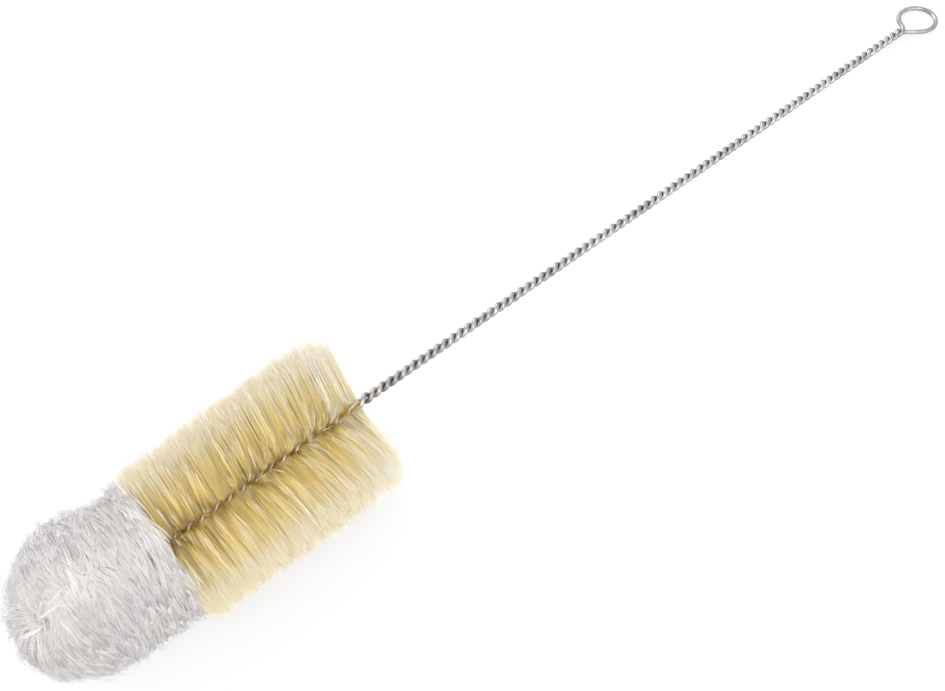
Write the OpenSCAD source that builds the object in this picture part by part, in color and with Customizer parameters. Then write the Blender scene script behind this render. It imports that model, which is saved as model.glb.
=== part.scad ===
// Bottle brush: a wire folded into a hanging ring and twisted on itself, gripping a natural bristle head and a wool tip.
// Sizes are in mm. The brush lies on a table as it comes to rest, on the bristles nearest the stem and on the ring.

/* [Wire] */
// Diameter of the wire
wire_d = 2; // [1.6:0.1:2.6]
// Length of one full twist along the bare stem
stem_pitch = 8; // [7:0.1:11]
// Length of the bare stem, from the bristles to the ring
stem_len = 320; // [200:1:420]
// Inside diameter of the hanging ring
ring_bore = 15.2; // [10:0.2:24]
// Bend of the wire at the bristles' stem end, which lets the head lie flatter than the stem
head_bend = 3; // [0:0.5:4]

/* [Bristle head] */
// Diameter over the bristle tips beside the stem
brush_d = 70; // [50:1:90]
// Diameter over the bristle tips beside the wool
brush_tip_d = 66; // [50:1:90]
// Length of the bristle head along the wire
bristle_len = 94.5; // [60:0.5:130]
// Length of one full twist where the wire grips bristles and wool
brush_pitch = 12.6; // [11:0.1:16]
// Bristle bundles in one full twist
bundles_per_turn = 21; // [15:2:25]
// Radius of a bristle bundle at its tips
bundle_tip_r = 2.2; // [1.4:0.1:2.8]
// How far the lowest bristles give under the brush's weight
bristle_press = 2; // [0.5:0.1:4]

/* [Wool tip] */
// Diameter over the wool
wool_d = 62; // [44:1:70]
// Length of the wool from the bristles to its round end
wool_len = 61; // [50:1:80]
// Wool locks in one full twist
locks_per_turn = 13; // [9:2:15]
// Radius of a wool lock near its end
lock_r = 3.2; // [2:0.1:4]
// Half angle of a lock in the round end
crown_lock_angle = 7.5; // [5:0.5:9]

/* [Hidden] */
wire_colour = [0.72, 0.73, 0.74];
bristle_colour = [0.86, 0.77, 0.56];
wool_colour = [0.94, 0.93, 0.92];
$fn = 32;

// The swept wire has a six-sided section of the round wire's own area, flats towards the axis.
sides = 6;
steps_per_turn = 8;
wire_r = wire_d / 2;
corner_r = wire_r * sqrt(2 * PI / (sides * sin(360 / sides)));
flat_r = corner_r * cos(180 / sides);
bow = cos(180 / steps_per_turn);

// Bundles sit side by side between the two legs, which part just enough to grip them.
bundle_step = brush_pitch / bundles_per_turn;
lock_step = brush_pitch / locks_per_turn;
root_r = 0.44 * bundle_step;
stem_r = (flat_r + 0.02) / bow;
grip_r = (flat_r + root_r + 0.04) / bow;
seat_r = grip_r + wire_r;

// Along the axis x runs from the wool (negative) past the bristles' stem end (zero) to the ring.
ring_r = ring_bore / 2 + wire_r;
ring_x = stem_len + 1.22 * ring_r;
wool_r = wool_d / 2;
knot_r = seat_r;
knot_x = wool_r - bristle_len - wool_len;
wire_end = knot_x + knot_r + 0.7 * wire_r;
bundle_count = floor(bristle_len / bundle_step + 0.001);
lock_count = floor((-bristle_len - wire_end) / lock_step + 0.001);

// At rest the ring's far side and the pressed bristles touch the table.
axis_height = brush_d / 2 - bristle_press;
ring_edge = ring_x + ring_r + corner_r / 2;
tilt = asin(axis_height / norm([ring_edge, flat_r])) - atan(flat_r / ring_edge);
head_tilt = tilt - head_bend;
far_x = (ring_x + ring_r + wire_r) * cos(tilt);
near_x = -(bristle_len + wool_len) * cos(head_tilt);

// One row is what about half a twist grips.
bristle_rows = 15;
wool_rows = 4;

function unit(v) = v / norm(v);
function blend(t) = t * t * (3 - 2 * t);

// Left-handed twist: the angle of the first leg falls towards the ring, where that leg crosses on top.
function twist(x) = 90 + 360 * (x > 0 ? (stem_len - x) / stem_pitch : stem_len / stem_pitch - x / brush_pitch);
function twist_r(x) = grip_r + (stem_r - grip_r) * blend(min(1, max(0, 2 * x / stem_pitch)));
function bent(x, v) = x > 0 ? v :
  [v.x * cos(head_bend) - v.z * sin(head_bend), v.y, v.x * sin(head_bend) + v.z * cos(head_bend)];
function leg(x, side) =
  let(out = [0, cos(twist(x)), sin(twist(x))])
  [bent(x, [x, 0, 0] + side * twist_r(x) * out), bent(x, out)];

// From the crossing each leg swings out and joins the ring, which lies flat.
join = 50;
function swing(t, side) =
  let(from = [stem_len, 0, side * stem_r],
      to = [ring_x - ring_r * cos(join), side * ring_r * sin(join), 0],
      reach = norm(to - from),
      leave = reach * [sin(35), side * cos(35), 0],
      arrive = reach * [sin(join), side * cos(join), 0])
  [(1 + 2 * t) * pow(1 - t, 2) * from + t * pow(1 - t, 2) * leave
    + t * t * (3 - 2 * t) * to - t * t * (1 - t) * arrive, [0, 0, 1]];
function around(a) = [[ring_x - ring_r * cos(a), ring_r * sin(a), 0], [0, 0, 1]];

grip_steps = ceil(-wire_end / brush_pitch * steps_per_turn);
stem_steps = ceil(stem_len / stem_pitch * steps_per_turn);
swing_steps = 5;
ring_steps = 24;
leg_x = concat(
  [for (i = [0:grip_steps - 1]) wire_end * (1 - i / grip_steps)],
  [for (i = [0:stem_steps]) stem_len * i / stem_steps]);
last = len(leg_x) - 1;
wire_path = concat(
  [for (i = [0:last]) leg(leg_x[i], 1)],
  [for (i = [1:swing_steps]) swing(i / swing_steps, 1)],
  [for (i = [1:ring_steps - 1]) around(join + (360 - 2 * join) * i / ring_steps)],
  [for (i = [swing_steps:-1:1]) swing(i / swing_steps, -1)],
  [for (i = [last:-1:0]) leg(leg_x[i], -1)]);

// A solid of even section along a path of [point, direction of a flat].
module sweep(path) {
  n = len(path);
  corners = [for (i = [0:n - 1])
    let(along = unit(path[min(i + 1, n - 1)][0] - path[max(i - 1, 0)][0]),
        across = unit(cross(along, path[i][1])),
        out = cross(across, along))
    for (k = [0:sides - 1])
      let(a = 360 * (k + 0.5) / sides)
      path[i][0] + corner_r * (cos(a) * out + sin(a) * across)];
  walls = [for (i = [0:n - 2], k = [0:sides - 1])
    let(a = i * sides + k, b = i * sides + (k + 1) % sides)
    each [[a, a + sides, b], [a + sides, b + sides, b]]];
  ends = [[for (k = [0:sides - 1]) k], [for (k = [sides - 1:-1:0]) (n - 1) * sides + k]];
  polyhedron(corners, concat(walls, ends), convexity = 20);
}

// Moves the stem or the head from its own axis to where it lies.
module lie(angle) translate([-(far_x + near_x) / 2, 0, axis_height]) rotate([0, angle, 0]) children();

// How far an arm reaches at angle a about the axis: its own length, or down to the table.
function arm(x, a, length, tip_r) =
  let(down = -sin(a) * cos(head_tilt),
      room = axis_height - x * sin(head_tilt),
      lean = tip_r * sqrt(pow(sin(head_tilt), 2) + pow(cos(a) * cos(head_tilt), 2)))
  down < 0.01 ? length : min(length, room / down, (room - lean) / down + 0.3 * tip_r);

// One bundle through the wire: thin where it is gripped, spreading to both ends.
module bundle(x, length, tip_r) {
  up = arm(x, twist(x) + 90, length, tip_r);
  low = arm(x, twist(x) - 90, length, tip_r);
  translate([x, 0, 0]) rotate([twist(x), 0, 0]) rotate_extrude() polygon([
    [0, -low], [tip_r, -low + 0.3 * tip_r], [root_r, -seat_r],
    [root_r, seat_r], [tip_r, up - 0.3 * tip_r], [0, up]]);
}

module wire() color(wire_colour) lie(tilt) sweep(wire_path);

function row(g, rows, count) = [floor(count * (g - 1) / rows):floor(count * g / rows) - 1];

module bristle_row(g) color(bristle_colour) lie(head_tilt) for (i = row(g, bristle_rows, bundle_count)) {
  along = (i + 0.5) / bundle_count;
  bundle(-bristle_len * along, (brush_d + (brush_tip_d - brush_d) * along) / 2, bundle_tip_r);
}

module wool_row(g) color(wool_colour) lie(head_tilt) for (i = row(g, wool_rows, lock_count))
  bundle(-bristle_len - lock_step * (i + 0.5), wool_r, lock_r);

// The round end: locks fanning from a knot at the cut ends of the wire.
module crown_lock() {
  end_r = wool_r * tan(crown_lock_angle);
  rotate_extrude() polygon([
    [0, 0.5 * knot_r], [0.5 * knot_r * tan(crown_lock_angle), 0.5 * knot_r],
    [end_r * 0.93, wool_r - 0.5 * end_r], [0.6 * end_r, wool_r - 0.12 * end_r], [0, wool_r]]);
}

module wool_crown() color(wool_colour) lie(head_tilt) translate([knot_x, 0, 0]) rotate([0, -90, 0]) {
  sphere(r = knot_r);
  for (ring = [[0, 1], [25, 6], [50, 11], [75, 13]], i = [1:ring[1]])
    rotate([0, ring[0], 360 * i / ring[1]]) crown_lock();
}

wire();
for (g = [1:bristle_rows]) bristle_row(g);
for (g = [1:wool_rows]) wool_row(g);
wool_crown();
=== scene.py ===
"""A bottle brush: twisted steel wire with a hanging ring, a spiral of natural bristles, and a wool tip.

Sizes are in metres. Along the brush's own axis x runs from the wool (negative) past the bristles' stem
end (zero) to the ring. LIE_STEM and LIE_HEAD take the two parts of that axis to where they lie on the
table. Angles about the axis start at +Y, the brush's far side, and turn towards +Z.
"""
import math
import random

import bmesh
import bpy
from mathutils import Matrix, Vector


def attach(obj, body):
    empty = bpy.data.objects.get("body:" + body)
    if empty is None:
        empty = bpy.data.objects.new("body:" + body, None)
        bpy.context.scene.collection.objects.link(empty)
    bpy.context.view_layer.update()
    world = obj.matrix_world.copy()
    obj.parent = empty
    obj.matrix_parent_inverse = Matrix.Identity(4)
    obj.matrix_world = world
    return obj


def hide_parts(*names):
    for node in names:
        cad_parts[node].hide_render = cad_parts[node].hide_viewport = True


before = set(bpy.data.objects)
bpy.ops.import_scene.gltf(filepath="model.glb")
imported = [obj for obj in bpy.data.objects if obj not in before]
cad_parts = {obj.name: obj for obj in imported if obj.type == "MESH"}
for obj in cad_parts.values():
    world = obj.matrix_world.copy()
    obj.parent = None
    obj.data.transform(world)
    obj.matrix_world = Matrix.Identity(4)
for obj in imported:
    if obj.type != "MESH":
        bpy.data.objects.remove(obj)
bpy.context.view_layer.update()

MM = 0.001

# The wire
WIRE_R = 1.03 * MM
STEM_R = 1.05 * MM
GRIP_R = 1.34 * MM
STEM_PITCH = 8 * MM
STEM_LEN = 320 * MM
RING_R = 8.6 * MM
RING_X = STEM_LEN + 1.22 * RING_R
RING_JOIN = math.radians(50)
RING_LEAVE = math.radians(35)
POINTS_PER_TWIST = 22
SWING_POINTS = 10
RING_POINTS = 60
WIRE_SIDES = 12

# The head: bristles, then wool, on a longer twist
HEAD_PITCH = 12.6 * MM
BRISTLE_LEN = 94.5 * MM
BRISTLE_START = -3.4 * MM
BRISTLE_R = 35 * MM
BRISTLE_END_R = 33 * MM
BRISTLE_ROWS = 15
WOOL_LEN = 61 * MM
WOOL_R = 31 * MM
WOOL_ROWS = 4
KNOT_X = WOOL_R - BRISTLE_LEN - WOOL_LEN
WIRE_END = KNOT_X + 3.06 * MM

# How it lies: the stem slopes down to the ring, and a slight bend lets the head lie flatter
AXIS_HEIGHT = 33 * MM
STEM_TILT = math.radians(5.415)
HEAD_BEND = math.radians(3)
MIDDLE = 91.606 * MM
TO_TABLE = Matrix.Translation((-MIDDLE, 0, AXIS_HEIGHT))
LIE_STEM = TO_TABLE @ Matrix.Rotation(STEM_TILT, 4, "Y")
LIE_HEAD = TO_TABLE @ Matrix.Rotation(STEM_TILT - HEAD_BEND, 4, "Y")
TO_HEAD = LIE_HEAD.inverted()
BEND = Matrix.Rotation(-HEAD_BEND, 3, "Y")

# Every strand's map: across it a tone of its own, up it from root to tip
STRAND_MAP = "OFBake"
MAP_ROOT = 0.05

# One bristle, and how it stands in its tuft
BRISTLE_STRAND_R = 0.088 * MM
BRISTLE_THINS = 0.5
COARSE = 1.9
COARSE_SHARE = 0.15
ROOT_ALONG = 1 * MM
ROOT_ACROSS = 0.3 * MM
FAN_ALONG = 0.024
FAN_ACROSS = 0.06
FULL_LENGTHS = (0.95, 1.03)
FULL_SHARE = 0.85
SHORT_LENGTHS = (0.75, 0.97)

# Tufts: plain ones, pale ones near the stem, thin white streaks, and short stubs at the wire
TUFTS = 1500
TUFT_KINDS = 24
TUFT_STRANDS = 14
FEW_KINDS = 6
PALE_REACH = 0.17
STREAK_STRANDS = 6
STREAK_SPREAD = 0.2
STREAK_SHARE = 0.12
STREAK_STRAY = 0.25
STUBS_PER_TUFT = 3
STUB_STRANDS = 3
STUB_LEN = 0.11 * BRISTLE_R
STUB_LENGTHS = (0.05, 0.13)
STUB_LEAN = 0.3
STUB_MAP_TIP = 0.062

# Tones, and from which one a bristle is white
PLAIN_TONES = (0, 0.93)
PALE_TONES = (0.84, 1)
STREAK_TONES = (0.9, 1)
STUB_TONES = (0, 0.8)
WHITE_TONE = 0.88
WHITE_MIX = 0.85
DARKEST = 0.93

# How tufts stand on the wire: some evenly round it, the others close to the way their leg grips them,
# and fewer by the stem
EVEN_SHARE = 0.6
EVEN_STRAY = 1.57
CLOSE_STRAY = 0.4
TUFT_LENGTHS = (0.98, 1.03)
TUFT_LEAN = 0.02
END_LEAN_NEAR = -0.12
END_LEAN_FAR = 0.01
THINNED_SHARE = 0.5
THINNED_REACH = 0.05

# The head swells a little towards the wool, and its far side is trimmed, most of all by the stem
SWELL_STEM = 1.01
SWELL_WOOL = 1.04
TRIM_STEM = 0.065
TRIM_WOOL = 0.095
TRIM_MORE = 0.05
TRIM_MORE_REACH = 0.08

# The parting, which shows the wire: bristles within its reach are combed out to its two walls
PARTING = math.radians(122)
PARTING_OUT = Vector((0, math.cos(PARTING), math.sin(PARTING)))
PARTING_REACH = 1.1
PARTING_WALL = 0.8
PARTING_SQUASH = 0.28
COMBED_SHARE = 0.92

# Soft shading of the bristles: how far they face out of the parting, where it is open, and how fully
FACE_PARTING = 0.9
OPEN_FROM = -0.5
OPEN_TO = 0.3
SOFT_SHARE = 0.7

# Half twists gather into ridges, each by an amount of its own, and less on the near side
RIDGES = 40
RIDGE_SQUEEZE = (0.1, 0.4)
NEAR_SQUEEZE = 0.3

# Wool, in locks on a dense heart. Sizes inside a lock are shares of WOOL_R, and the kinds of lock go
# from those on the crease to those far from it.
LOCKS_PER_ROW = 190
END_LOCKS = 560
LOCK_STRANDS = 10
LOCK_SEGMENTS = 4
LOCK_TRAVELS = (0.3, 0.45, 0.6, 0.75)
# Locks nearer the crease have lower tones: painted shade in the crease
LOCK_PAINTED_SHADE_TONES = (0, 0.15, 0.5, 1)
LOCK_LIFTS = (0, 0, 0, 0.02, 0.06)
LOCK_FAN = (0.034, 0.034, 0.012)
LOCK_BACK = 0.4
LOCK_SIZES = (0.98, 1.03)
LOCK_STRAY = 0.03
END_STRAY = 0.2
KIND_STRAY = 0.5
WOOL_STRAND_R = 0.13 * MM
WOOL_ROOT = 0.86
WOOL_HEART = 0.89
# The heart is a little darker than the locks: painted shade under them
HEART_PAINTED_SHADE_TONE = 0.1
HEART_SIDES = 40
HEART_JOINT = 0.6

# The wool's own shape: it sags, has a waist by the bristles, and departs from round in three
# directions, each with how far, as a share of WOOL_R, and how narrowly
WOOL_SLUMP = Vector((0, 1.2, 0.7)) * MM
WAIST_X = -105 * MM
WAIST_ANGLE = math.radians(32)
WAIST_DEPTH = 0.13
WAIST_REACH = 7 * MM
WOOL_BUMPS = (
    (Vector((-0.93, -0.12, -0.35)), 0.1, 4),
    (Vector((-0.75, 0.64, 0.15)), -0.05, 4),
    (Vector((-0.3, -0.8, -0.52)), -0.04, 2),
)

# The crease that the locks fall away from. They are ruffled most beside it, and greyest: painted shade in the
# crease.
CREASE_X = -108 * MM
CREASE_ANGLE = math.radians(112)
CREASE_ACROSS = Vector((0, math.cos(CREASE_ANGLE), math.sin(CREASE_ANGLE)))
CREASE_FORWARD = 0.6
CREASE_OUT = 0.8
CREASE_HALF = 0.3 * WOOL_R
CREASE_SHADE = 0.55 * WOOL_R
CREASE_RUFFLE = 1.2
RUFFLE = 0.16

# Beside the bristles the locks lie round the wire, and along it only within these slopes
JOINT_LEN = 12 * MM
SLOPE_TO_END = -0.6
SLOPE_TO_STEM = 0.3
SLOPE_STRAY = 0.12

# Where the photograph was taken from
CAMERA_AT = Vector((-168.65, -258.07, 450.29)) * MM
CAMERA_LOOK = Vector((0.24770, 0.49400, -0.83343))
CAMERA_ROLL = math.radians(-14.97)
CAMERA_LENS = 47.62

# The stage
TABLE_HALF = 3
TABLE_GREY = (0.9, 0.9, 0.9, 1)
TABLE_GLOW = 0.75
WHITE = (1, 1, 1, 1)
KEY_BACK = 0.27

rng = random.Random(7)


def twist(x):
    """Angle of the wire's first leg about the axis."""
    stem_turns = (STEM_LEN - max(x, 0)) / STEM_PITCH
    head_turns = -min(x, 0) / HEAD_PITCH
    return math.pi / 2 + math.tau * (stem_turns + head_turns)


def smooth(t):
    """Eases a share from 0 to 1."""
    t = min(1, max(0, t))
    return t * t * (3 - 2 * t)


def between(start, end, share):
    """The value a share of the way from start to end."""
    return start + (end - start) * share


def leg(x, side):
    """A point on one leg of the twisted pair."""
    r = between(GRIP_R, STEM_R, smooth(2 * x / STEM_PITCH))
    point = Vector((x, side * r * math.cos(twist(x)), side * r * math.sin(twist(x))))
    return point if x > 0 else BEND @ point


def swing(t, side):
    """A point on the way from the crossing out to the ring."""
    start = Vector((STEM_LEN, 0, side * STEM_R))
    end = Vector((RING_X - RING_R * math.cos(RING_JOIN), side * RING_R * math.sin(RING_JOIN), 0))
    reach = (end - start).length
    leave = Vector((math.sin(RING_LEAVE), side * math.cos(RING_LEAVE), 0)) * reach
    arrive = Vector((math.sin(RING_JOIN), side * math.cos(RING_JOIN), 0)) * reach
    from_start = (1 + 2 * t) * (1 - t) ** 2 * start + t * (1 - t) ** 2 * leave
    return from_start + t * t * (3 - 2 * t) * end - t * t * (1 - t) * arrive


def around(a):
    """A point on the ring."""
    return Vector((RING_X - RING_R * math.cos(a), RING_R * math.sin(a), 0))


def steps(start, end, count):
    """Evenly spaced numbers from start up to, but not with, end."""
    return [start + (end - start) * i / count for i in range(count)]


def wire_route():
    """The whole hairpin, from one cut end round the ring to the other."""
    head = steps(WIRE_END, 0, round(-WIRE_END / HEAD_PITCH * POINTS_PER_TWIST))
    stem = steps(0, STEM_LEN, round(STEM_LEN / STEM_PITCH * POINTS_PER_TWIST))
    along = head + stem
    shares = steps(0, 1, SWING_POINTS)
    ring = steps(RING_JOIN, math.tau - RING_JOIN, RING_POINTS)
    route = [leg(x, 1) for x in along]
    route += [swing(t, 1) for t in shares]
    route += [around(a) for a in ring]
    route += [swing(1 - t, -1) for t in shares]
    route += [leg(x, -1) for x in [STEM_LEN] + along[::-1]]
    return route


# Materials


class Socket:
    """A node's output. Arithmetic on it adds Math nodes."""

    def __init__(self, nodes, output):
        self.nodes = nodes
        self.output = output

    def math(self, operation, other):
        return self.nodes.add("ShaderNodeMath", {"operation": operation}, {0: self, 1: other})

    def __add__(self, other):
        return self.math("ADD", other)

    def __mul__(self, other):
        return self.math("MULTIPLY", other)

    def __gt__(self, other):
        return self.math("GREATER_THAN", other)

    __radd__ = __add__
    __rmul__ = __mul__


class Nodes:
    """Writes the nodes of one material or world."""

    def __init__(self, tree):
        self.tree = tree
        tree.nodes.clear()

    def add(self, kind, settings=None, inputs=None, output=0):
        node = self.tree.nodes.new(kind)
        for key, value in (settings or {}).items():
            if key == "stops":
                self.set_stops(node.color_ramp, value)
            else:
                setattr(node, key, value)
        for key, value in (inputs or {}).items():
            if isinstance(value, Socket):
                self.tree.links.new(value.output, node.inputs[key])
            else:
                node.inputs[key].default_value = value
        if not node.outputs:
            return None
        return Socket(self, node.outputs[output])

    def set_stops(self, ramp, stops):
        while len(ramp.elements) < len(stops):
            ramp.elements.new(1)
        for element, (position, tint) in zip(ramp.elements, stops):
            element.position = position
            element.color = tint

    def mix_colour(self, factor, first, second):
        return self.add("ShaderNodeMix", {"data_type": "RGBA"}, {0: factor, 6: first, 7: second}, 2)

    def mix_shader(self, factor, first, second):
        return self.add("ShaderNodeMixShader", None, {0: factor, 1: first, 2: second})

    def spread(self, value, low, high, start=0, end=1):
        """Takes the range from start to end to the one from low to high."""
        inputs = {"Value": value, "From Min": start, "From Max": end, "To Min": low, "To Max": high}
        return self.add("ShaderNodeMapRange", None, inputs)

    def noise(self, place, scale, detail):
        return self.add("ShaderNodeTexNoise", None, {"Vector": place, "Scale": scale, "Detail": detail})

    def scaled(self, vector, factor):
        return self.add("ShaderNodeVectorMath", {"operation": "SCALE"}, {0: vector, "Scale": factor})

    def shown(self):
        """One for what the camera sees, in a mirror or through glass too."""
        kinds = ("Is Camera Ray", "Is Glossy Ray", "Is Transmission Ray")
        camera, glossy, through = [self.add("ShaderNodeLightPath", output=kind) for kind in kinds]
        return camera + glossy + through

    def finish(self, surface):
        """Ends a material in one principled surface."""
        front = self.add("ShaderNodeBsdfPrincipled", None, surface)
        self.add("ShaderNodeOutputMaterial", None, {0: front})


def material(name):
    made = bpy.data.materials.new(name)
    made.use_nodes = True
    return made, Nodes(made.node_tree)


def colour(red, green, blue):
    """A colour as it looks on a screen, 0 to 255, for a shader."""
    def linear(c):
        c /= 255
        return c / 12.92 if c <= 0.04045 else ((c + 0.055) / 1.055) ** 2.4
    return (linear(red), linear(green), linear(blue), 1)


def strand_coordinates(nodes):
    """A strand's own tone, from 0 to 1, and how far along it from root to tip."""
    uv = nodes.add("ShaderNodeUVMap", {"uv_map": STRAND_MAP})
    tone = nodes.add("ShaderNodeSeparateXYZ", None, {0: uv}, 0)
    along = nodes.add("ShaderNodeSeparateXYZ", None, {0: uv}, 1)
    return tone, along


def bristle_finish():
    """Natural bristle: brown-gold at the root, straw along its length, paler at the tip. Some are white.
    Painted light: lightest just out from the root, to lift the shade deep in the brush.
    """
    made, nodes = material("natural_bristle")
    tone, along = strand_coordinates(nodes)
    # Painted light: the stops from 0.07 to 0.30 are lighter than the rest, to offset the shade near the wire,
    # and the outer part is a little darker where the bristles are most lit
    stops = [
        (MAP_ROOT, colour(216, 174, 98)),
        (0.07, colour(254, 228, 152)),
        (0.12, colour(255, 241, 176)),
        (0.30, colour(255, 240, 172)),
        (0.50, colour(252, 230, 157)),
        (0.85, colour(247, 229, 174)),
        (1.00, colour(243, 233, 206)),
    ]
    straw = nodes.add("ShaderNodeValToRGB", {"stops": stops}, {0: along})
    mixed = nodes.mix_colour((tone > WHITE_TONE) * WHITE_MIX, straw, colour(252, 250, 242))
    toned = nodes.scaled(mixed, nodes.spread(tone, DARKEST, 1))
    nodes.finish({"Base Color": toned, "Roughness": 0.42, "Specular IOR Level": 0.35})
    return made


def wool_finish():
    """White wool: matt, a little warm, and greyer near the crease and in the heart under the strands, as
    painted shade.
    """
    made, nodes = material("white_wool")
    tone, along = strand_coordinates(nodes)
    # The first stop, greyer, colours only the heart: painted shade under the strands
    stops = [
        (0.00, colour(247, 243, 242)),
        (MAP_ROOT, colour(255, 252, 251)),
        (1.00, colour(255, 253, 252)),
    ]
    white = nodes.add("ShaderNodeValToRGB", {"stops": stops}, {0: along})
    # Lower tones are darker: at random, and as painted shade by the crease and in the heart
    toned = nodes.scaled(white, nodes.spread(tone, DARKEST, 1))
    nodes.finish({"Base Color": toned, "Roughness": 0.7, "Specular IOR Level": 0.2})
    return made


def steel_finish():
    """Bright drawn wire: light and dull patches along it, and darker where it turns away."""
    made, nodes = material("drawn_steel")
    place = nodes.add("ShaderNodeTexCoord", output="Object")
    fine = nodes.noise(place, scale=900, detail=4)
    broad = nodes.noise(place, scale=170, detail=2)
    patch = nodes.spread(broad, 0, 1, start=0.35, end=0.65)
    grey = nodes.mix_colour(patch, colour(156, 153, 151), colour(192, 190, 188))
    bump = {"Height": fine, "Strength": 0.15, "Distance": 0.05 * MM}
    nodes.finish({
        "Base Color": grey,
        "Metallic": 1,
        "Roughness": nodes.spread(fine, 0.3, 0.44),
        "Normal": nodes.add("ShaderNodeBump", None, bump),
        "Specular Tint": (0.75, 0.75, 0.75, 1),
    })
    return made


# Pieces


def mesh_of(shape, name):
    """Turns a bmesh into a mesh and lets the bmesh go."""
    mesh = bpy.data.meshes.new(name)
    shape.to_mesh(mesh)
    shape.free()
    return mesh


def show(name, mesh, finish, node):
    """Puts a finished mesh in the scene in the place of a CAD node."""
    for face in mesh.polygons:
        face.use_smooth = True
    mesh.materials.append(finish)
    piece = bpy.data.objects.new(name, mesh)
    bpy.context.scene.collection.objects.link(piece)
    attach(piece, "root")
    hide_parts(node)


def make_wire(finish):
    curve = bpy.data.curves.new("wire_route", "CURVE")
    curve.dimensions = "3D"
    curve.bevel_depth = WIRE_R
    curve.bevel_resolution = (WIRE_SIDES - 4) // 2
    curve.use_fill_caps = True
    route = wire_route()
    spline = curve.splines.new("POLY")
    spline.points.add(len(route) - 1)
    for point, place in zip(spline.points, route):
        point.co = (*place, 1)
    holder = bpy.data.objects.new("wire_route", curve)
    mesh = bpy.data.meshes.new_from_object(holder)
    bpy.data.objects.remove(holder)
    mesh.transform(LIE_STEM)
    mesh.name = "twisted_wire"
    show("twisted_wire", mesh, finish, "wire")


def add_strand(tuft, scratch, line, width, segments, tone, map_tip=1):
    """A three-sided tapering strand along line(t), with its map from root to tip."""
    strand = bmesh.new()
    base = Matrix.Translation((0, 0, 0.5))
    bmesh.ops.create_cone(strand, cap_ends=True, segments=3, radius1=1, radius2=1, depth=1, matrix=base)
    if segments > 1:
        long_edges = [e for e in strand.edges if abs(e.verts[0].co.z - e.verts[1].co.z) > 0.5]
        bmesh.ops.subdivide_edges(strand, edges=long_edges, cuts=segments - 1, use_grid_fill=True)
    chart = strand.loops.layers.uv.new(STRAND_MAP)
    for face in strand.faces:
        for loop in face.loops:
            loop[chart].uv = (tone, between(MAP_ROOT, map_tip, loop.vert.co.z))
    for vert in strand.verts:
        t = vert.co.z
        across = Vector((vert.co.x, vert.co.y, 0)) * width(t)
        vert.co = line(t) + across
    strand.to_mesh(scratch)
    strand.free()
    tuft.from_mesh(scratch)


def bristle_tuft(name, strands, length_for, tones, map_tip=1, spread=1):
    """A few bristles that leave the wire together and fan a little. z runs from root to tip, one long."""
    tuft = bmesh.new()
    scratch = bpy.data.meshes.new("strand")
    for _ in range(strands):
        root = Vector((rng.uniform(-ROOT_ALONG, ROOT_ALONG), rng.uniform(-ROOT_ACROSS, ROOT_ACROSS), 0))
        root *= spread / length_for
        thickness = BRISTLE_STRAND_R / length_for * (COARSE if rng.random() < COARSE_SHARE else 1)
        fan = Vector((rng.gauss(0, FAN_ALONG), rng.gauss(0, FAN_ACROSS), 0)) * spread
        length = rng.uniform(*(FULL_LENGTHS if rng.random() < FULL_SHARE else SHORT_LENGTHS))

        def line(t):
            return root + (fan + Vector((0, 0, 1))) * t * length

        def width(t):
            return thickness * (1 - BRISTLE_THINS * t)

        add_strand(tuft, scratch, line, width, 1, rng.uniform(*tones), map_tip)
    bpy.data.meshes.remove(scratch)
    return mesh_of(tuft, name)


def wool_lock(name, travel, tone, lift):
    """A lock of wool. z points out from the wool's middle, y along its surface, and its radius is one."""
    tuft = bmesh.new()
    scratch = bpy.data.meshes.new("strand")
    waves = rng.uniform(0.6, 1.1)
    phase = rng.uniform(0, math.tau)
    swell = rng.uniform(0.01, 0.03)
    for _ in range(LOCK_STRANDS):
        fan = Vector([rng.gauss(0, spread) for spread in LOCK_FAN])
        own_phase = phase + rng.gauss(0, 0.4)
        tip = rng.uniform(0.95, 1.01)
        own_travel = travel * rng.uniform(0.85, 1.15)

        def line(t):
            along = own_travel * (t ** 1.25 - LOCK_BACK)
            reach = between(WOOL_ROOT, tip, 1 - (1 - t) ** 1.6) + lift * t * t
            ripple = swell * t * math.sin(own_phase + waves * math.tau * t)
            gathered = fan * math.sin(math.pi * (0.2 + 0.75 * t))
            return Vector((ripple, along, math.sqrt(max(0.01, reach ** 2 - along ** 2)))) + gathered

        def width(t):
            """Swells a little, then thins to a fine tip."""
            return WOOL_STRAND_R / WOOL_R * (0.7 + 0.6 * t - 1.15 * t ** 3)

        add_strand(tuft, scratch, line, width, LOCK_SEGMENTS, tone * rng.uniform(0.75, 1))
    bpy.data.meshes.remove(scratch)
    return mesh_of(tuft, name)


def plant(row, kind, place):
    """Adds a copy of a tuft or lock to a row."""
    copy = kind.copy()
    copy.transform(LIE_HEAD @ place)
    row.from_mesh(copy)
    bpy.data.meshes.remove(copy)


def radial(x, angle, lean, roll, length):
    """Stands a tuft on the axis at x, pointing out at an angle about it and leaning along it."""
    turn = Matrix.Rotation(angle - math.pi / 2, 4, "X")
    tip = Matrix.Rotation(lean, 4, "Y")
    spin = Matrix.Rotation(roll, 4, "Z")
    return Matrix.Translation((x, 0, 0)) @ turn @ tip @ spin @ Matrix.Scale(length, 4)


def settle(row):
    """Bends what would reach under the table out along it."""
    for vert in row.verts:
        under = -vert.co.z
        if under > 0:
            vert.co.y += math.copysign(under, vert.co.y)
            vert.co.z = 0


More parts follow.
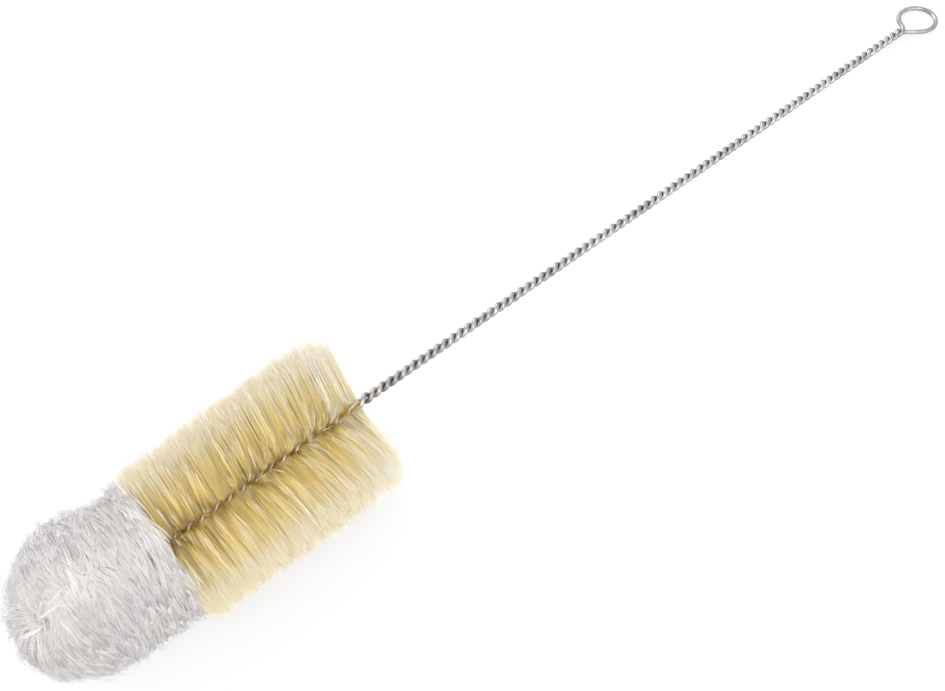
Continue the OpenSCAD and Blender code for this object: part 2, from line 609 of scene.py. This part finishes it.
def soften(mesh):
    """Turns the outer sides of bristles to face out of the parting, or outward, so that they shade softly."""
    normals = []
    for vert in mesh.vertices:
        along = (TO_HEAD @ vert.co).x
        out = (vert.co - LIE_HEAD @ Vector((along, 0, 0))).normalized()
        open_side = smooth((out.dot(PARTING_OUT) - OPEN_FROM) / (OPEN_TO - OPEN_FROM))
        soft = out.lerp(PARTING_OUT, FACE_PARTING * open_side).normalized()
        turned = SOFT_SHARE * smooth(0.5 + vert.normal.dot(soft))
        normals.append(vert.normal.lerp(soft, turned).normalized())
    mesh.normals_split_custom_set_from_vertices(normals)


def finish_row(row, name, finish, node):
    """Settles a row on the table and shows it."""
    settle(row)
    mesh = mesh_of(row, name)
    show(name, mesh, finish, node)
    return mesh


def combed(angle):
    """Moves an angle about the axis out of the parting, apart from a few stray ones."""
    off = (angle - PARTING + math.pi) % math.tau - math.pi
    if abs(off) < PARTING_REACH and rng.random() < COMBED_SHARE:
        off = math.copysign(PARTING_WALL + PARTING_SQUASH * abs(off), off)
    return PARTING + off


def bristle_length(share, far):
    """Length of the bristles at a share of the way to the wool. far is one for those that point to +Y."""
    taper = between(BRISTLE_R, BRISTLE_END_R, share)
    swell = between(SWELL_STEM, SWELL_WOOL, share)
    trim = between(TRIM_STEM, TRIM_WOOL, share) + TRIM_MORE * math.exp(-share / TRIM_MORE_REACH)
    return taper * swell * (1 - far * trim)


def make_bristles(finish):
    def few(name, *facts):
        return [bristle_tuft(f"{name}_{i}", *facts) for i in range(FEW_KINDS)]

    plain = [bristle_tuft(f"tuft_{i}", TUFT_STRANDS, BRISTLE_R, PLAIN_TONES) for i in range(TUFT_KINDS)]
    pale = few("pale", TUFT_STRANDS, BRISTLE_R, PALE_TONES)
    streaks = few("streak", STREAK_STRANDS, BRISTLE_R, STREAK_TONES, 1, STREAK_SPREAD)
    stubs = few("stub", STUB_STRANDS, STUB_LEN, STUB_TONES, STUB_MAP_TIP)
    squeeze = [rng.uniform(*RIDGE_SQUEEZE) for _ in range(RIDGES)]

    def plant_tuft(row, x, side, share):
        even = rng.random() < EVEN_SHARE
        stray = rng.uniform(-EVEN_STRAY, EVEN_STRAY) if even else rng.gauss(0, CLOSE_STRAY)
        angle = combed(twist(x) + side * math.pi / 2 + stray)
        turns = (angle - twist(x)) / math.pi - 0.5
        ridge = round(turns)
        off_ridge = (turns - ridge) * HEAD_PITCH / 2
        far = 0.5 + 0.5 * math.cos(angle)
        length = bristle_length(share, far) * rng.uniform(*TUFT_LENGTHS)
        gathered = squeeze[ridge % RIDGES] * between(NEAR_SQUEEZE, 1, far) * off_ridge / length
        past_end = (BRISTLE_START - x) / length + between(END_LEAN_NEAR, END_LEAN_FAR, far)
        lean = min(rng.gauss(TUFT_LEAN * far, TUFT_LEAN) - gathered, past_end)
        roll = rng.choice((0, math.pi))
        kinds = pale if rng.random() < math.exp(-(share / PALE_REACH) ** 2) else plain
        plant(row, rng.choice(kinds), radial(x, angle, lean, roll, length))
        if rng.random() < STREAK_SHARE:
            angle = combed(twist(x) + math.pi * rng.randrange(2) + rng.gauss(0, STREAK_STRAY))
            plant(row, rng.choice(streaks), radial(x, angle, min(lean, 0), roll, length))

    def plant_stub(row, x):
        length = BRISTLE_R * rng.uniform(*STUB_LENGTHS)
        lean = min(rng.gauss(0, STUB_LEAN), (BRISTLE_START - x) / length)
        plant(row, rng.choice(stubs), radial(x, rng.uniform(0, math.tau), lean, 0, length))

    tufts_per_row = TUFTS // BRISTLE_ROWS
    for g in range(BRISTLE_ROWS):
        row = bmesh.new()
        for i in range(tufts_per_row):
            share = (g + (i + rng.random()) / tufts_per_row) / BRISTLE_ROWS
            x = between(BRISTLE_START, -BRISTLE_LEN, share)
            thinned = THINNED_SHARE * math.exp(-share / THINNED_REACH)
            for side in (-1, 1):
                if rng.random() >= thinned:
                    plant_tuft(row, x, side, share)
            for _ in range(STUBS_PER_TUFT):
                plant_stub(row, x)
        soften(finish_row(row, f"bristles_{g + 1}", finish, f"bristle_row_{g + 1}"))
    for kind in plain + pale + streaks + stubs:
        bpy.data.meshes.remove(kind)


def wool_surface(x, out):
    """The point of the wool's round outside that lies out from x on the axis."""
    return Vector((x, 0, 0)) + out * WOOL_R


CREASE_FROM = wool_surface(CREASE_X, CREASE_ACROSS)
CREASE_TO = wool_surface(KNOT_X, Vector((-CREASE_FORWARD, 0, 0)) + CREASE_OUT * CREASE_ACROSS)


def wool_fit(x, out):
    """How far the wool sags at x on the axis, and its size there in a direction, as a share of WOOL_R."""
    slump = WOOL_SLUMP * smooth((-BRISTLE_LEN - x) / (-BRISTLE_LEN - KNOT_X))
    waist_side = max(0, out.y * math.cos(WAIST_ANGLE) + out.z * math.sin(WAIST_ANGLE))
    fit = 1 - WAIST_DEPTH * waist_side * math.exp(-((x - WAIST_X) / WAIST_REACH) ** 2)
    for direction, amount, power in WOOL_BUMPS:
        fit += amount * max(0, out.dot(direction)) ** power
    return slump, fit


def lock_place(x, out):
    """Stands a lock on the axis at x, pointing out, so that it falls away from the crease.

    Gives its place, and from 0 to 1 how far from the crease it is.
    """
    spot = wool_surface(x, out)
    crease = CREASE_TO - CREASE_FROM
    share = min(1, max(0, (spot - CREASE_FROM).dot(crease) / crease.length_squared))
    away = spot - CREASE_FROM - crease * share
    fall = (away - out * away.dot(out)).normalized()
    ruffle = RUFFLE + CREASE_RUFFLE * smooth(1 - away.length / CREASE_HALF)
    fall = Matrix.Rotation(rng.gauss(0, ruffle), 3, out) @ fall
    if x > KNOT_X:
        side = out.cross(Vector((1, 0, 0))).normalized()
        off_joint = smooth((-BRISTLE_LEN - x) / JOINT_LEN)
        slope = max(SLOPE_TO_END, min(fall.x, SLOPE_TO_STEM)) * off_joint + rng.gauss(0, SLOPE_STRAY)
        about = math.copysign(math.sqrt(1 - slope ** 2), fall.dot(side))
        fall = side * about - side.cross(out) * slope
    across = fall.cross(out)
    turn = Matrix((across, fall, out)).transposed().to_4x4()
    slump, fit = wool_fit(x, out)
    size = WOOL_R * fit * rng.uniform(*LOCK_SIZES)
    place = Matrix.Translation(slump + Vector((x, 0, 0))) @ turn @ Matrix.Scale(size, 4)
    return place, smooth(away.length / CREASE_SHADE)


def wool_heart(row, x, length, joint=1):
    """The dense middle of the wool under its locks: a drum, or with no length a ball for the round end."""
    heart = bmesh.new()
    radius = WOOL_HEART * WOOL_R
    if length:
        bmesh.ops.create_cone(heart, cap_ends=True, segments=HEART_SIDES, radius1=radius,
                              radius2=joint * radius, depth=length)
    else:
        bmesh.ops.create_uvsphere(heart, u_segments=HEART_SIDES, v_segments=HEART_SIDES // 2, radius=radius)
    # The heart takes a low tone: painted shade under the locks
    chart = heart.loops.layers.uv.new(STRAND_MAP)
    for face in heart.faces:
        for loop in face.loops:
            loop[chart].uv = (HEART_PAINTED_SHADE_TONE, 0)
    along_axis = Matrix.Translation((x, 0, 0)) @ Matrix.Rotation(math.pi / 2, 4, "Y")
    for vert in heart.verts:
        spot = along_axis @ vert.co
        base = Vector((max(spot.x, KNOT_X), 0, 0))
        out = spot - base
        slump, fit = wool_fit(base.x, out.normalized())
        vert.co = base + slump + out * fit
    mesh = mesh_of(heart, "heart")
    plant(row, mesh, Matrix.Identity(4))
    bpy.data.meshes.remove(mesh)


def make_wool(finish):
    kinds = []
    for i, (travel, tone) in enumerate(zip(LOCK_TRAVELS, LOCK_PAINTED_SHADE_TONES)):
        kinds.append([wool_lock(f"lock_{i}_{j}", travel, tone, lift) for j, lift in enumerate(LOCK_LIFTS)])

    def plant_lock(row, x, out):
        # Kinds nearer the crease are darker, a painted shade there, and travel less
        place, share = lock_place(x, out)
        farthest = len(kinds) - 1
        level = round(share * farthest + rng.gauss(0, KIND_STRAY))
        level = min(farthest, max(0, level))
        plant(row, rng.choice(kinds[level]), place)

    row_len = (-BRISTLE_LEN - KNOT_X) / WOOL_ROWS
    for g in range(WOOL_ROWS):
        row = bmesh.new()
        wool_heart(row, -BRISTLE_LEN - row_len * (g + 0.5), row_len, HEART_JOINT if g == 0 else 1)
        for i in range(LOCKS_PER_ROW):
            x = -BRISTLE_LEN - row_len * (g + rng.random())
            angle = math.tau * (i + rng.random()) / LOCKS_PER_ROW
            out = Vector((rng.gauss(0, LOCK_STRAY), math.cos(angle), math.sin(angle))).normalized()
            plant_lock(row, x, out)
        finish_row(row, f"wool_{g + 1}", finish, f"wool_row_{g + 1}")
    row = bmesh.new()
    wool_heart(row, KNOT_X, 0)
    golden = math.pi * (3 - math.sqrt(5))
    for i in range(END_LOCKS):
        forward = (i + rng.random()) / END_LOCKS
        aside = math.sqrt(1 - forward ** 2)
        angle = i * golden + rng.gauss(0, END_STRAY)
        plant_lock(row, KNOT_X, Vector((-forward, aside * math.cos(angle), aside * math.sin(angle))))
    finish_row(row, "wool_end", finish, "wool_crown")
    for kind in sum(kinds, []):
        bpy.data.meshes.remove(kind)


# Stage


def set_table():
    """A pale table that looks white and keeps the brush's shadow."""
    grid = bmesh.new()
    bmesh.ops.create_grid(grid, x_segments=1, y_segments=1, size=TABLE_HALF)
    mesh = mesh_of(grid, "table")
    made, nodes = material("white_table")
    plain = nodes.add("ShaderNodeBsdfDiffuse", None, {"Color": TABLE_GREY})
    white = nodes.add("ShaderNodeEmission", None, {"Color": WHITE, "Strength": 1})
    surface = nodes.mix_shader(nodes.shown() * TABLE_GLOW, plain, white)
    nodes.add("ShaderNodeOutputMaterial", None, {0: surface})
    mesh.materials.append(made)
    floor = bpy.data.objects.new("table", mesh)
    bpy.context.scene.collection.objects.link(floor)


def set_room():
    """Even white light from all round."""
    world = bpy.data.worlds.new("studio")
    world.use_nodes = True
    bpy.context.scene.world = world
    nodes = Nodes(world.node_tree)
    white = nodes.add("ShaderNodeBackground", None, {"Color": WHITE, "Strength": 1})
    nodes.add("ShaderNodeOutputWorld", None, {0: white})


def add_lamp(name, place, aim, size, watts):
    light = bpy.data.lights.new(name, "AREA")
    light.shape = "DISK"
    light.size = size
    light.energy = watts
    lamp = bpy.data.objects.new(name, light)
    lamp.location = place
    lamp.rotation_euler = (aim - place).to_track_quat("-Z", "Y").to_euler()
    bpy.context.scene.collection.objects.link(lamp)


def set_lamps():
    behind_camera = CAMERA_AT - KEY_BACK * CAMERA_LOOK
    add_lamp("key", behind_camera, aim=CAMERA_AT, size=0.6, watts=1.9)
    add_lamp("front", Vector((-0.05, -0.9, 0.35)), aim=Vector((-0.08, 0, 0.03)), size=0.6, watts=1.7)
    add_lamp("back", Vector((0.2, 0.9, 0.6)), aim=Vector((-0.05, 0, 0.03)), size=0.8, watts=3.9)


def stand_camera():
    lens = bpy.data.cameras.new("camera")
    lens.sensor_fit = "HORIZONTAL"
    lens.lens = CAMERA_LENS
    lens.clip_start = 0.01
    camera = bpy.data.objects.new("camera", lens)
    look = CAMERA_LOOK.to_track_quat("-Z", "Y").to_matrix().to_4x4()
    roll = Matrix.Rotation(CAMERA_ROLL, 4, "Z")
    camera.matrix_world = Matrix.Translation(CAMERA_AT) @ look @ roll
    bpy.context.scene.collection.objects.link(camera)
    bpy.context.scene.camera = camera


stand_camera()
set_table()
set_room()
set_lamps()
make_wire(steel_finish())
make_bristles(bristle_finish())
make_wool(wool_finish())
bpy.context.scene.view_settings.view_transform = "Standard"
# Light passes many times between pale strands
bpy.context.scene.cycles.max_bounces = 24
bpy.context.scene.cycles.diffuse_bounces = 16
